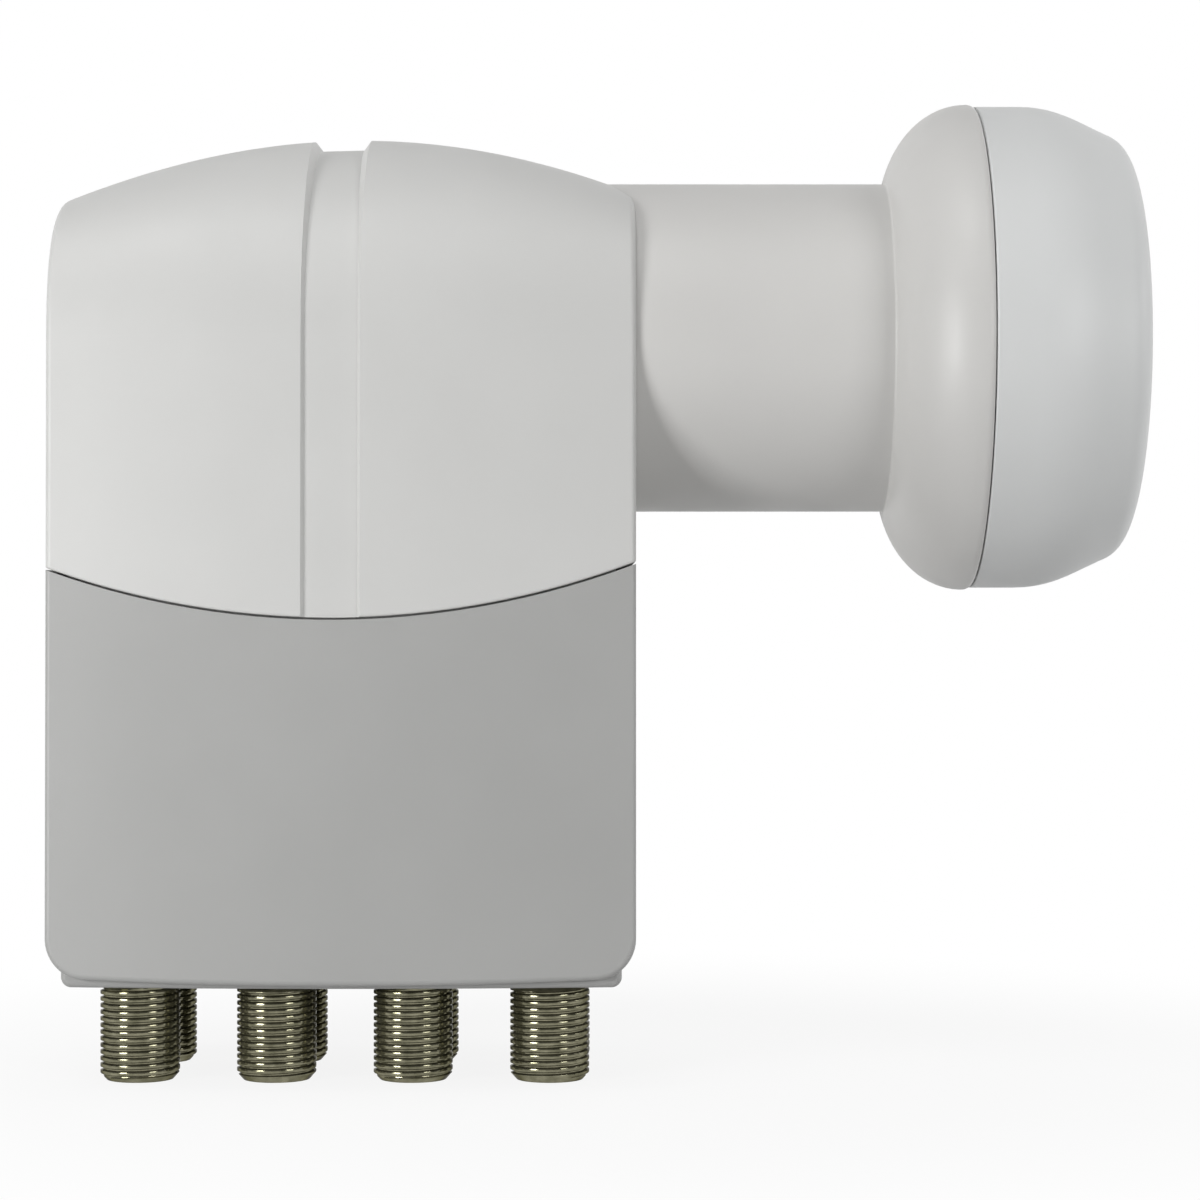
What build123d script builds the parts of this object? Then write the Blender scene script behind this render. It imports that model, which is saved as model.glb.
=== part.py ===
from build123d import *
from math import atan2, cos, degrees, pi, radians, sin
import os

# Eight-output satellite LNB. Sizes in millimetres.
# The origin is on the horn's axis at the middle of the bare neck.
# +X runs along the axis to the cap, +Z is up, and the ports point down.

# Neck and bell, turned forms round the horn's axis
neck_diameter = 40.0
neck_length = 30.45
neck_tail = 7.95
neck_wall = 3.0
bell_diameter = 59.15
bell_length = 10.45
bell_lean = 1.0
bell_rise = 5.4
bell_reach = 4.9
bell_lip = 0.7
bell_lip_drop = 0.3
bell_wall = 2.4
bell_root_round = 0.3

# Weather cap
cap_gap = 0.15
cap_set_in = 0.25
cap_diameter = bell_diameter - 2 * cap_set_in
cap_side = 5.45
cap_waist_run = 10.8
cap_waist_drop = 3.425
cap_waist_angle = 22.8
cap_rim_run = 2.8
cap_rim_drop = 5.2
cap_dome = 0.9
cap_wall = 1.6
cap_edge_round = 0.25
spigot_length = 4.0
spigot_wall = 2.0
seal_section = 1.1

# Body: hood above, cover below, drawn as arches across the width
body_width = 68.7
body_depth = 46.0
body_end_depth = 42.0
crown_height = 25.3
crown_left_height = 17.65
crown_right_height = 18.6
crown_fullness = 0.5523
crown_end_fullness = 0.676
side_draft = 1.0
end_round = 0.65
round_steps = 4
hood_wall = 2.2
cover_wall = 1.5
cover_foot = 75.5
foot_sag = 0.75
foot_corner = 4.75

# Curved seam between hood and cover
seam_left_drop = 27.2
seam_low_drop = 33.0
seam_right_drop = 26.5
seam_gap = 0.25
hood_rim_round = 0.25
tongue_height = 3.0
tongue_wall = 1.0

# Groove over the crown
groove_offset = 1.05
groove_width = 6.9
groove_floor = 5.2
groove_depth = 1.15
groove_side_depth = 0.5
groove_flare = 0.3

# Base plate and ports
base_drop = 0.5
base_thickness = 4.5
base_corner = 1.2
base_round = 0.8
ledge_width = 0.9
ledge_height = 1.7
gasket_height = 1.2
gasket_depth = 1.0
gasket_rise = 2.6
port_columns = 4
port_margin = 9.75
row_pitch = 16.3
port_offset = 0.5
port_diameter = 9.525
port_reach = 12.3
port_collar = 1.0
port_collar_diameter = 8.8
port_chamfer = 0.75
port_chamfer_rise = 1.2
port_bore = 6.8
port_flange_diameter = 12.4
port_flange = 1.5
port_tail_diameter = 8.4
insulator_recess = 0.5
insulator_face = 1.0
contact_diameter = 2.0
contact_socket = 1.0
contact_socket_depth = 10.0
contact_pin = 0.9
contact_tip = 1.0

# Casting and feed horn
waveguide_bore = 18.0
horn_tube_wall = 2.5
horn_spigot = 6.0
horn_plate = 2.15
horn_plate_diameter = 39.6
ring_count = 3
ring_pitch = 3.4
ring_wall = 1.2
ring_height = 4.6
neck_gasket_thickness = 1.0
neck_gasket_bore = 27.0
neck_gasket_diameter = 36.0
flange_diameter = 37.0
flange_thickness = 4.0
casting_gap = 4.25
casting_half_depth = 14.0
casting_top = 9.0
casting_underside = 14.0
waveguide_boss = 27.0
waveguide_length = 27.6
casting_wall = 3.5
column_width = 8.0
port_wall = 7.2
port_wall_half_depth = 17.0
port_wall_margin = 0.15
casting_round = 1.0

# Boards, shields and probes
board_thickness = 1.6
board_post = 3.0
board_post_diameter = 4.8
board_margin = 0.3
shield_wall = 1.0
rf_shield_height = 7.4
matrix_shield_height = 6.0
shield_left_gap = 5.9
shield_right_gap = 1.1
rf_shield_half_depth = 13.4
matrix_shield_half_depth = 11.5
link_gap = 3.6
link_half_width = 10.0
probe_diameter = 1.2
probe_reach = 3.5
probe_bend = 1.2
probe_tail = 0.8
vertical_probe_depth = 20.0
horizontal_probe_depth = 14.0
horizontal_probe_side = 11.0
bush_diameter = 2.9
bush_length = 4.5
puck_diameter = 5.6
puck_height = 2.2
puck_gap = 10.5
puck_side = 6.0

# Screws: shank, head and length of each kind
small_shank = 2.4
small_head = 4.4
small_head_height = 1.2
small_bite = 5.0
tuning_shank = 3.8
tuning_head = 6.0
tuning_head_height = 1.6
tuning_reach = 3.0
base_shank = 3.0
base_head = 5.8
base_head_height = 2.0
base_bite = 5.0
shield_screw_inset = 2.5
shield_post_diameter = 4.8
board_screw_side = 14.0

# Clearances
slip = 0.15
close_fit = 0.05
screw_clearance = 0.1
bottom_clearance = 0.5

os.makedirs("parts", exist_ok=True)

# Places worked out from the sizes
neck_radius = neck_diameter / 2
bell_radius = bell_diameter / 2
cap_radius = cap_diameter / 2
bell_root = neck_length / 2
bell_end = bell_root + bell_length
bell_crest = bell_end - bell_lip
body_right = -neck_length / 2
body_left = body_right - body_width
body_middle = (body_left + body_right) / 2
neck_end = body_right - neck_tail
cover_bottom = -cover_foot
base_bottom = cover_bottom - base_drop
base_top = base_bottom + base_thickness
base_inset = cover_wall + slip
port_end = base_bottom - port_reach
port_wall_top = base_top + port_wall
casting_right = neck_end - neck_gasket_thickness
column_left = casting_right - flange_thickness
matrix_board_bottom = port_wall_top + board_post
matrix_board_top = matrix_board_bottom + board_thickness
rf_board_top = -casting_underside
rf_board_bottom = rf_board_top - board_thickness
rf_shield_bottom = rf_board_bottom - rf_shield_height
waveguide_radius = waveguide_bore / 2
tube_radius = waveguide_radius + horn_tube_wall
casting_left = body_left + casting_gap
well_left = casting_left + casting_wall
shield_left = well_left + shield_left_gap
shield_right = column_left - shield_right_gap
link_place = well_left + link_gap
vertical_probe_place = casting_right - vertical_probe_depth
horizontal_probe_place = casting_right - horizontal_probe_depth
puck_place = shield_left + puck_gap
port_pitch = (body_width - 2 * port_margin) / (port_columns - 1)
port_middle = body_middle - port_offset
groove_middle = body_middle - groove_offset
port_places = [
    (port_middle + (column - (port_columns - 1) / 2) * port_pitch, side * row_pitch / 2)
    for side in (-1, 1)
    for column in range(port_columns)
]
# screws stand midway between the outer pairs of port columns
screw_columns = [port_middle - port_pitch, port_middle + port_pitch]
base_screw_places = [(x, 0) for x in screw_columns]
board_screw_places = [(x, side * board_screw_side) for x in screw_columns for side in (-1, 1)]
shield_screw_places = [
    (x, side * (rf_shield_half_depth - shield_wall - shield_screw_inset))
    for x in (shield_left + shield_wall + shield_screw_inset, shield_right - shield_wall - shield_screw_inset)
    for side in (-1, 1)
]
puck_places = [(puck_place, side * puck_side) for side in (-1, 1)]
beyond = body_width


def body_outline(x, inset, bottom, sink=0):
    """Arched outline of the body at one place along X, drawn in by an inset and closed at a bottom height.

    The crown is a parabola along X through its three heights, and sinks by a further amount in the groove.
    Each half of the arch is one cubic curve whose handles are a share of its width and height. That share
    is a true ellipse's at the middle of the body and grows to a squarer arch at its ends.
    """
    place = (x - body_middle) / (body_width / 2)
    share = place**2
    half_depth = (body_depth + (body_end_depth - body_depth) * share) / 2 - inset
    end_height = (crown_left_height + crown_right_height) / 2
    lean = (crown_right_height - crown_left_height) / 2
    crown = crown_height + (end_height - crown_height) * share + lean * place - inset - sink
    fullness = crown_fullness + (crown_end_fullness - crown_fullness) * share
    foot = half_depth + side_draft * bottom / cover_bottom
    shoulder = half_depth - side_draft * fullness * crown / cover_foot
    rise = fullness * crown
    with BuildSketch(Plane.YZ.offset(x)) as outline:
        with BuildLine():
            Line((-foot, bottom), (foot, bottom))
            Line((foot, bottom), (half_depth, 0))
            Bezier((half_depth, 0), (shoulder, rise), (fullness * half_depth, crown), (0, crown))
            Bezier((0, crown), (-fullness * half_depth, crown), (-shoulder, rise), (-half_depth, 0))
            Line((-half_depth, 0), (-foot, bottom))
        make_face()
    return outline.sketch


def body_form(inset, bottom):
    """The body's form with sharp ends, lofted through its left, middle and right outlines."""
    with BuildPart() as form:
        stations = (body_left + inset, body_middle, body_right - inset)
        loft(sections=[body_outline(x, inset, bottom) for x in stations])
    return form.part


def rounded_body_form(bottom):
    """The body's form with its end edges rounded by a quarter turn of ever smaller outlines."""
    turns = [pi / 2 * step / round_steps for step in range(round_steps + 1)]
    with BuildPart() as form:
        stations = (body_left + end_round, body_middle, body_right - end_round)
        loft(sections=[body_outline(x, 0, bottom) for x in stations])
        for end, inward in ((body_left, 1), (body_right, -1)):
            rings = [
                (end + inward * end_round * (1 - cos(turn)), end_round * (1 - sin(turn)))
                for turn in turns
            ]
            loft(sections=[body_outline(x, inset, bottom) for x, inset in rings])
    return form.part


def bowed_region(left_level, low_level, right_level, height):
    """All that lies between an arc across the body, through three levels, and a height above or below it."""
    left = (body_left, left_level)
    low = (body_middle, low_level)
    right = (body_right, right_level)
    with BuildPart() as region:
        with BuildSketch(Plane.XZ):
            with BuildLine():
                ThreePointArc(left, low, right)
                Polyline(
                    right,
                    (body_right + end_round, right[1]),
                    (body_right + end_round, height),
                    (body_left - end_round, height),
                    (body_left - end_round, left[1]),
                    left,
                )
            make_face()
        extrude(amount=body_depth, both=True)
    return region.part


def seam_region(shift, height):
    """All that lies between the curved seam, moved up by a shift, and a height above or below it."""
    return bowed_region(shift - seam_left_drop, shift - seam_low_drop, shift - seam_right_drop, height)


def level_region(low, high):
    """All that lies between two heights, wider and deeper than the body."""
    with BuildPart() as region:
        with BuildSketch(Plane.XY.offset(low)):
            with Locations((body_middle, 0)):
                Rectangle(2 * body_width, 2 * body_depth)
        extrude(amount=high - low)
    return region.part


def groove_cutter():
    """The groove's volume: a band over the crown, less its two sloping walls and the arch of its floor.

    The walls run on to twice the groove's depth, and the floor's arch stops them. That arch lies deep at the
    crown and shallow on the sides, so the walls grow narrow towards the seam.
    """
    slope = groove_depth / ((groove_width - groove_floor) / 2)
    outer = groove_width / 2 + groove_flare
    inner = groove_floor - groove_width / 2
    with BuildPart() as walls:
        loft(
            sections=[
                body_outline(groove_middle - outer, -groove_flare * slope, cover_bottom),
                body_outline(groove_middle - inner, 2 * groove_depth, cover_bottom),
                body_outline(groove_middle + inner, 2 * groove_depth, cover_bottom),
                body_outline(groove_middle + outer, -groove_flare * slope, cover_bottom),
            ],
            ruled=True,
        )
    with BuildPart() as floor_arch:
        sink = groove_depth - groove_side_depth
        stations = (groove_middle - outer, groove_middle + outer)
        loft(sections=[body_outline(x, groove_side_depth, cover_bottom, sink) for x in stations])
    with BuildPart() as cutter:
        with BuildSketch(Plane.XY.offset(cover_bottom)):
            with Locations((groove_middle, 0)):
                Rectangle(2 * outer, 2 * body_depth)
        extrude(amount=cover_foot + 2 * crown_height)
        add(walls.part, mode=Mode.SUBTRACT)
        add(floor_arch.part, mode=Mode.SUBTRACT)
    return cutter.part


# Upper hood: moulded arched shell with a soft lower rim, the crown groove and the notch for the neck
with BuildPart() as upper_hood:
    add(rounded_body_form(cover_bottom))
    add(seam_region(seam_gap / 2, 2 * crown_height), mode=Mode.INTERSECT)
    rim = upper_hood.edges().filter_by(lambda edge: edge.bounding_box().max.Z < -neck_radius)
    fillet(rim, hood_rim_round)
    add(groove_cutter(), mode=Mode.SUBTRACT)
    add(body_form(hood_wall, base_bottom), mode=Mode.SUBTRACT)
    with Locations(Plane.YZ.offset(neck_end - slip)):
        Cylinder(
            neck_radius + slip, beyond, align=(Align.CENTER, Align.CENTER, Align.MIN), mode=Mode.SUBTRACT
        )
upper_hood.part.label = "upper_hood"
export_step(upper_hood.part, "parts/upper_hood.step")

# Lower cover: moulded sleeve, open below, with a bowed foot and rounded lower corners
# A tongue at its upper rim slips inside the hood, and a ledge near its foot sits on the base plate
with BuildPart() as lower_cover:
    add(body_form(0, cover_bottom))
    foot_ends = cover_bottom + foot_sag
    add(bowed_region(foot_ends, cover_bottom, foot_ends, 2 * crown_height), mode=Mode.INTERSECT)
    fillet(lower_cover.edges().filter_by(Axis.Y), foot_corner)
    add(seam_region(-seam_gap / 2, 2 * cover_bottom), mode=Mode.INTERSECT)
    for side in (0, -1):
        side_edges = lower_cover.faces().sort_by(Axis.Y)[side].edges().sort_by(Axis.Z)
        fillet(side_edges[:-1], end_round)
    add(body_form(cover_wall, 2 * cover_bottom), mode=Mode.SUBTRACT)
tongue_outside = hood_wall + slip
tongue_inside = tongue_outside + tongue_wall
with BuildPart() as rim_band:
    add(body_form(cover_wall, cover_bottom))
    add(seam_region(-seam_gap / 2, 2 * cover_bottom), mode=Mode.INTERSECT)
    add(seam_region(-seam_gap / 2 - tongue_height, 2 * cover_bottom), mode=Mode.SUBTRACT)
    add(body_form(tongue_inside, 2 * cover_bottom), mode=Mode.SUBTRACT)
with BuildPart() as tongue:
    add(body_form(tongue_outside, cover_bottom))
    add(seam_region(-seam_gap / 2 + tongue_height, 2 * cover_bottom), mode=Mode.INTERSECT)
    add(seam_region(-seam_gap / 2, 2 * cover_bottom), mode=Mode.SUBTRACT)
    add(body_form(tongue_inside, 2 * cover_bottom), mode=Mode.SUBTRACT)
with BuildPart() as ledge:
    add(body_form(cover_wall, base_bottom))
    add(level_region(base_top, base_top + ledge_height), mode=Mode.INTERSECT)
    add(body_form(cover_wall + ledge_width, 2 * cover_bottom), mode=Mode.SUBTRACT)
with BuildPart() as joined_cover:
    add(lower_cover.part)
    add(rim_band.part)
    add(tongue.part)
    add(ledge.part)
joined_cover.part.label = "lower_cover"
export_step(joined_cover.part, "parts/lower_cover.step")

# Base plate: moulded plate inside the cover's foot, with port holes, sunk screws and a gasket groove
gasket_low = base_bottom + gasket_rise
with BuildPart() as connector_base:
    add(body_form(base_inset, base_bottom))
    add(level_region(base_bottom, base_top), mode=Mode.INTERSECT)
    foot_edges = connector_base.edges().group_by(Axis.Z)[0].sort_by(Axis.X)
    fillet([foot_edges[0], foot_edges[-1]], base_corner)
    for side in (0, -1):
        side_edges = connector_base.faces().sort_by(Axis.Y)[side].edges().sort_by(Axis.Z)
        fillet(side_edges[:-1], base_round)
with BuildPart() as gasket_groove:
    add(body_form(0, base_bottom))
    add(level_region(gasket_low, gasket_low + gasket_height), mode=Mode.INTERSECT)
    add(body_form(base_inset + gasket_depth, base_bottom), mode=Mode.SUBTRACT)
with BuildPart() as finished_base:
    add(connector_base.part)
    add(gasket_groove.part, mode=Mode.SUBTRACT)
    with Locations(*[(x, y, base_top) for x, y in port_places]):
        Hole(port_collar_diameter / 2 + slip)
    with BuildSketch(Plane.XY.offset(base_bottom)):
        with Locations(*base_screw_places):
            Circle(base_head / 2 + slip)
    extrude(amount=base_head_height, mode=Mode.SUBTRACT)
    with Locations(*[(x, y, base_top) for x, y in base_screw_places]):
        Hole(base_shank / 2 + screw_clearance)
finished_base.part.label = "connector_base"
export_step(finished_base.part, "parts/connector_base.step")

# Base gasket: rubber ring in the base plate's groove, against the cover's inner wall
with BuildPart() as base_gasket:
    add(body_form(cover_wall + close_fit, base_bottom))
    add(level_region(gasket_low, gasket_low + gasket_height), mode=Mode.INTERSECT)
    add(body_form(base_inset + gasket_depth, base_bottom), mode=Mode.SUBTRACT)
base_gasket.part.label = "base_gasket"
export_step(base_gasket.part, "parts/base_gasket.step")

# Horn neck: moulded tube that flares into the bell, with a seat for the feed horn and a bore for the cap
neck_bore_radius = neck_radius - neck_wall
bell_bore_radius = bell_radius - bell_wall + close_fit
horn_seat = bell_root + bell_wall
with BuildPart() as horn_neck:
    with BuildSketch(Plane.XZ):
        with BuildLine():
            Bezier(
                (bell_root, neck_radius),
                (bell_root + bell_lean, neck_radius + bell_rise),
                (bell_crest - bell_reach, bell_radius),
                (bell_crest, bell_radius),
            )
            ThreePointArc(
                (bell_crest, bell_radius),
                (bell_crest + bell_lip / 2, bell_radius - bell_lip_drop / 4),
                (bell_end, bell_radius - bell_lip_drop),
            )
            Polyline(
                (bell_root, neck_radius),
                (neck_end, neck_radius),
                (neck_end, neck_bore_radius),
                (horn_seat, neck_bore_radius),
                (horn_seat, neck_radius),
            )
            EllipticalCenterArc(
                (bell_end, neck_radius),
                bell_length - bell_wall,
                bell_radius - neck_radius - bell_wall,
                start_angle=90,
                arc_size=90,
            )
            Line((bell_end, bell_radius - bell_wall), (bell_end, bell_radius - bell_lip_drop))
        make_face()
    revolve(axis=Axis.X)
    root = horn_neck.edges().filter_by(GeomType.CIRCLE).filter_by(
        lambda edge: abs(edge.center().X - bell_root) < slip and abs(edge.radius - neck_radius) < slip
    )
    fillet(root, bell_root_round)
    with Locations(Plane.YZ.offset(bell_end - spigot_length)):
        Cylinder(
            bell_bore_radius,
            spigot_length,
            align=(Align.CENTER, Align.CENTER, Align.MIN),
            mode=Mode.SUBTRACT,
        )
horn_neck.part.label = "horn_neck"
export_step(horn_neck.part, "parts/horn_neck.step")

# Weather cap: thin moulded cap that slopes in from its side to a faint waist, a soft rim and a domed face
# Its spigot plugs into the bell and carries the seal
cap_start = bell_end + cap_gap
side_end = cap_start + cap_side
waist_place = side_end + cap_waist_run
waist_radius = cap_radius - cap_waist_drop
face_place = waist_place + cap_rim_run
face_radius = waist_radius - cap_rim_drop
waist_turn = radians(cap_waist_angle)
face_turn = 2 * atan2(cap_dome, face_radius)
dome_radius = face_radius / sin(face_turn)
dome_centre = face_place + cap_dome - dome_radius
waist_run = (cos(waist_turn), -sin(waist_turn))
face_run = (sin(face_turn), -cos(face_turn))
spigot_radius = bell_bore_radius - slip
spigot_bore = spigot_radius - spigot_wall
spigot_end = bell_end - spigot_length + slip
cap_root = cap_start + cap_wall
seal_middle = (spigot_end + bell_end) / 2
seal_radius = bell_bore_radius - close_fit - seal_section / 2
seal_groove_depth = spigot_radius - seal_radius + (seal_section + close_fit) / 2
with BuildPart() as feed_cap:
    with BuildSketch(Plane.XZ):
        with BuildLine():
            for depth in (0, cap_wall):
                face_sphere = dome_radius - depth
                side = (side_end, cap_radius - depth)
                waist = (waist_place - depth * sin(waist_turn), waist_radius - depth * cos(waist_turn))
                rim = (dome_centre + face_sphere * cos(face_turn), face_sphere * sin(face_turn))
                Spline([side, waist], tangents=[(1, 0), waist_run])
                Spline([waist, rim], tangents=[waist_run, face_run])
                CenterArc((dome_centre, 0), face_sphere, 0, degrees(face_turn))
            Line((face_place + cap_dome, 0), (face_place + cap_dome - cap_wall, 0))
            Polyline(
                (side_end, cap_radius - cap_wall),
                (cap_root, cap_radius - cap_wall),
                (cap_root, spigot_bore),
                (spigot_end, spigot_bore),
                (spigot_end, spigot_radius),
                (cap_start, spigot_radius),
                (cap_start, cap_radius),
                (side_end, cap_radius),
            )
        make_face()
    revolve(axis=Axis.X)
    open_rim = feed_cap.edges().filter_by(GeomType.CIRCLE).filter_by(
        lambda edge: abs(edge.radius - cap_radius) < slip and abs(edge.center().X - cap_start) < slip
    )
    fillet(open_rim, cap_edge_round)
    with BuildSketch(Plane.XZ):
        with Locations((seal_middle, spigot_radius)):
            Rectangle(seal_section + 2 * close_fit, 2 * seal_groove_depth)
    revolve(axis=Axis.X, mode=Mode.SUBTRACT)
feed_cap.part.label = "feed_cap"
export_step(feed_cap.part, "parts/feed_cap.step")

# Cap seal: rubber ring in the spigot's groove
with BuildPart() as cap_seal:
    with BuildSketch(Plane.XZ):
        with Locations((seal_middle, seal_radius)):
            Circle(seal_section / 2)
    revolve(axis=Axis.X)
cap_seal.part.label = "cap_seal"
export_step(cap_seal.part, "parts/cap_seal.step")

# Feed horn: turned tube from the casting to the bell, with a plate and scalar rings round its mouth
with BuildPart() as feed_horn:
    with BuildSketch(Plane.XZ):
        plate_end = horn_seat + horn_plate
        with BuildLine():
            Polyline(
                (casting_right - horn_spigot, waveguide_radius),
                (casting_right - horn_spigot, tube_radius),
                (horn_seat, tube_radius),
                (horn_seat, horn_plate_diameter / 2),
                (plate_end, horn_plate_diameter / 2),
                (plate_end, waveguide_radius),
                close=True,
            )
        make_face()
        for ring in range(ring_count):
            with Locations((plate_end, waveguide_radius + ring * ring_pitch)):
                Rectangle(ring_height, ring_wall, align=(Align.MIN, Align.MIN))
    revolve(axis=Axis.X)
feed_horn.part.label = "feed_horn"
export_step(feed_horn.part, "parts/feed_horn.step")

# Neck gasket: flat rubber ring between the neck and the casting's flange
with BuildPart() as neck_gasket:
    with BuildSketch(Plane.YZ.offset(casting_right)):
        Circle(neck_gasket_diameter / 2)
        Circle(neck_gasket_bore / 2, mode=Mode.SUBTRACT)
    extrude(amount=neck_gasket_thickness)
neck_gasket.part.label = "neck_gasket"
export_step(neck_gasket.part, "parts/neck_gasket.step")

# Casting: the waveguide block above, a wall and a column down to the wall that holds the ports
port_wall_left = body_left + cover_wall + ledge_width + port_wall_margin
port_wall_right = body_right - cover_wall - ledge_width - port_wall_margin
with BuildPart() as chassis:
    with BuildSketch(Plane.XZ):
        with BuildLine():
            Polyline(
                (casting_left, port_wall_top),
                (casting_left, casting_top),
                (casting_right, casting_top),
                (casting_right, rf_board_top),
                (well_left, rf_board_top),
                (well_left, port_wall_top),
                close=True,
            )
        make_face()
    extrude(amount=casting_half_depth, both=True)
    with BuildSketch(Plane.XZ):
        with Locations((column_left, port_wall_top)):
            Rectangle(flange_thickness, rf_board_top - port_wall_top, align=(Align.MIN, Align.MIN))
    extrude(amount=column_width / 2, both=True)
    with BuildSketch(Plane.XY.offset(base_top)):
        with Locations(((port_wall_left + port_wall_right) / 2, 0)):
            RectangleRounded(port_wall_right - port_wall_left, 2 * port_wall_half_depth, casting_round)
    extrude(amount=port_wall)
    with BuildSketch(Plane.XY.offset(port_wall_top)):
        with Locations(*board_screw_places):
            Circle(board_post_diameter / 2)
    extrude(amount=board_post)
    with BuildSketch(Plane.YZ.offset(casting_right)):
        Circle(flange_diameter / 2)
    extrude(amount=-flange_thickness)
    with BuildSketch(Plane.YZ.offset(casting_right)):
        Circle(waveguide_boss / 2)
    extrude(amount=-waveguide_length - casting_wall)
    with BuildSketch(Plane.YZ.offset(casting_right)):
        Circle(waveguide_radius)
    extrude(amount=-waveguide_length, mode=Mode.SUBTRACT)
    with BuildSketch(Plane.YZ.offset(casting_right)):
        Circle(tube_radius + close_fit)
    extrude(amount=-horn_spigot, mode=Mode.SUBTRACT)
    with BuildSketch(Plane.XY.offset(base_top)):
        with Locations(*port_places):
            Circle(port_flange_diameter / 2 + slip)
    extrude(amount=port_flange, mode=Mode.SUBTRACT)
    with BuildSketch(Plane.XY.offset(base_top)):
        with Locations(*port_places):
            Circle(port_tail_diameter / 2 + screw_clearance)
    extrude(amount=port_wall, mode=Mode.SUBTRACT)
    with BuildSketch(Plane.XY.offset(base_top)):
        with Locations(*base_screw_places):
            Circle(base_shank / 2 + screw_clearance)
    extrude(amount=base_bite + bottom_clearance, mode=Mode.SUBTRACT)
    with BuildSketch(Plane.XY.offset(matrix_board_bottom)):
        with Locations(*board_screw_places):
            Circle(small_shank / 2 + screw_clearance)
    extrude(amount=-small_bite - bottom_clearance, mode=Mode.SUBTRACT)
    with BuildSketch(Plane.XY.offset(rf_board_top)):
        with Locations(*shield_screw_places):
            Circle(small_shank / 2 + screw_clearance)
    extrude(amount=small_bite + bottom_clearance, mode=Mode.SUBTRACT)
    with BuildSketch(Plane.XY.offset(rf_board_top)):
        with Locations((vertical_probe_place, 0), (horizontal_probe_place, -horizontal_probe_side)):
            Circle(bush_diameter / 2 + close_fit)
    extrude(amount=casting_underside - waveguide_radius / 2, mode=Mode.SUBTRACT)
    with BuildSketch(Plane.XZ.offset(horizontal_probe_side + probe_diameter)):
        with Locations((horizontal_probe_place, 0)):
            Circle(bush_diameter / 2 + close_fit)
    extrude(amount=-horizontal_probe_side, mode=Mode.SUBTRACT)
    with BuildSketch(Plane.XY):
        with Locations((horizontal_probe_place, -horizontal_probe_side)):
            Circle(bush_diameter / 2 + close_fit)
    extrude(amount=-casting_underside, mode=Mode.SUBTRACT)
chassis.part.label = "chassis"
export_step(chassis.part, "parts/chassis.step")

# Ports: for each, a turned shell, its plastic core and its spring contact
for number, (port_x, port_y) in enumerate(port_places, start=1):
    port_plane = Plane(origin=(port_x, port_y, 0), x_dir=(1, 0, 0), z_dir=(0, -1, 0))
    port_axis = Axis((port_x, port_y, 0), (0, 0, 1))
    thread_radius = port_diameter / 2
    flange_top = base_top + port_flange
    insulator_low = port_end + insulator_recess
    contact_low = insulator_low + insulator_face
    with BuildPart() as f_port_shell:
        with BuildSketch(port_plane):
            with BuildLine():
                Polyline(
                    (port_bore / 2, port_end),
                    (thread_radius - port_chamfer, port_end),
                    (thread_radius, port_end + port_chamfer_rise),
                    (thread_radius, base_bottom - port_collar),
                    (port_collar_diameter / 2, base_bottom - port_collar),
                    (port_collar_diameter / 2, base_top),
                    (port_flange_diameter / 2, base_top),
                    (port_flange_diameter / 2, flange_top),
                    (port_tail_diameter / 2, flange_top),
                    (port_tail_diameter / 2, port_wall_top),
                    (port_bore / 2, port_wall_top),
                    close=True,
                )
            make_face()
        revolve(axis=port_axis)
    f_port_shell.part.label = f"f_port_shell_{number}"
    export_step(f_port_shell.part, f"parts/f_port_shell_{number}.step")
    with BuildPart() as f_port_insulator:
        with BuildSketch(port_plane):
            with BuildLine():
                Polyline(
                    (contact_pin / 2 + slip, insulator_low),
                    (port_bore / 2 - close_fit, insulator_low),
                    (port_bore / 2 - close_fit, port_wall_top),
                    (contact_diameter / 2 + close_fit, port_wall_top),
                    (contact_diameter / 2 + close_fit, contact_low),
                    (contact_pin / 2 + slip, contact_low),
                    close=True,
                )
            make_face()
        revolve(axis=port_axis)
    f_port_insulator.part.label = f"f_port_insulator_{number}"
    export_step(f_port_insulator.part, f"parts/f_port_insulator_{number}.step")
    with BuildPart() as f_port_contact:
        with BuildSketch(port_plane):
            with BuildLine():
                Polyline(
                    (contact_socket / 2, contact_low),
                    (contact_diameter / 2, contact_low),
                    (contact_diameter / 2, port_wall_top),
                    (contact_pin / 2, port_wall_top),
                    (contact_pin / 2, matrix_board_top + contact_tip),
                    (0, matrix_board_top + contact_tip),
                    (0, contact_low + contact_socket_depth),
                    (contact_socket / 2, contact_low + contact_socket_depth),
                    close=True,
                )
            make_face()
        revolve(axis=port_axis)
    f_port_contact.part.label = f"f_port_contact_{number}"
    export_step(f_port_contact.part, f"parts/f_port_contact_{number}.step")

# Receiver board: flat against the casting's underside, drilled for the probes and the shield's screws
rf_board_left = well_left + board_margin
rf_board_right = column_left - board_margin
with BuildPart() as rf_board:
    with BuildSketch(Plane.XY.offset(rf_board_bottom)):
        with Locations(((rf_board_left + rf_board_right) / 2, 0)):
            Rectangle(rf_board_right - rf_board_left, 2 * (casting_half_depth - board_margin))
        with Locations(*shield_screw_places):
            Circle(small_shank / 2 + screw_clearance, mode=Mode.SUBTRACT)
        with Locations((vertical_probe_place, 0), (horizontal_probe_place, -horizontal_probe_side)):
            Circle(probe_diameter / 2 + screw_clearance, mode=Mode.SUBTRACT)
    extrude(amount=board_thickness)
rf_board.part.label = "rf_board"
export_step(rf_board.part, "parts/rf_board.step")

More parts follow.
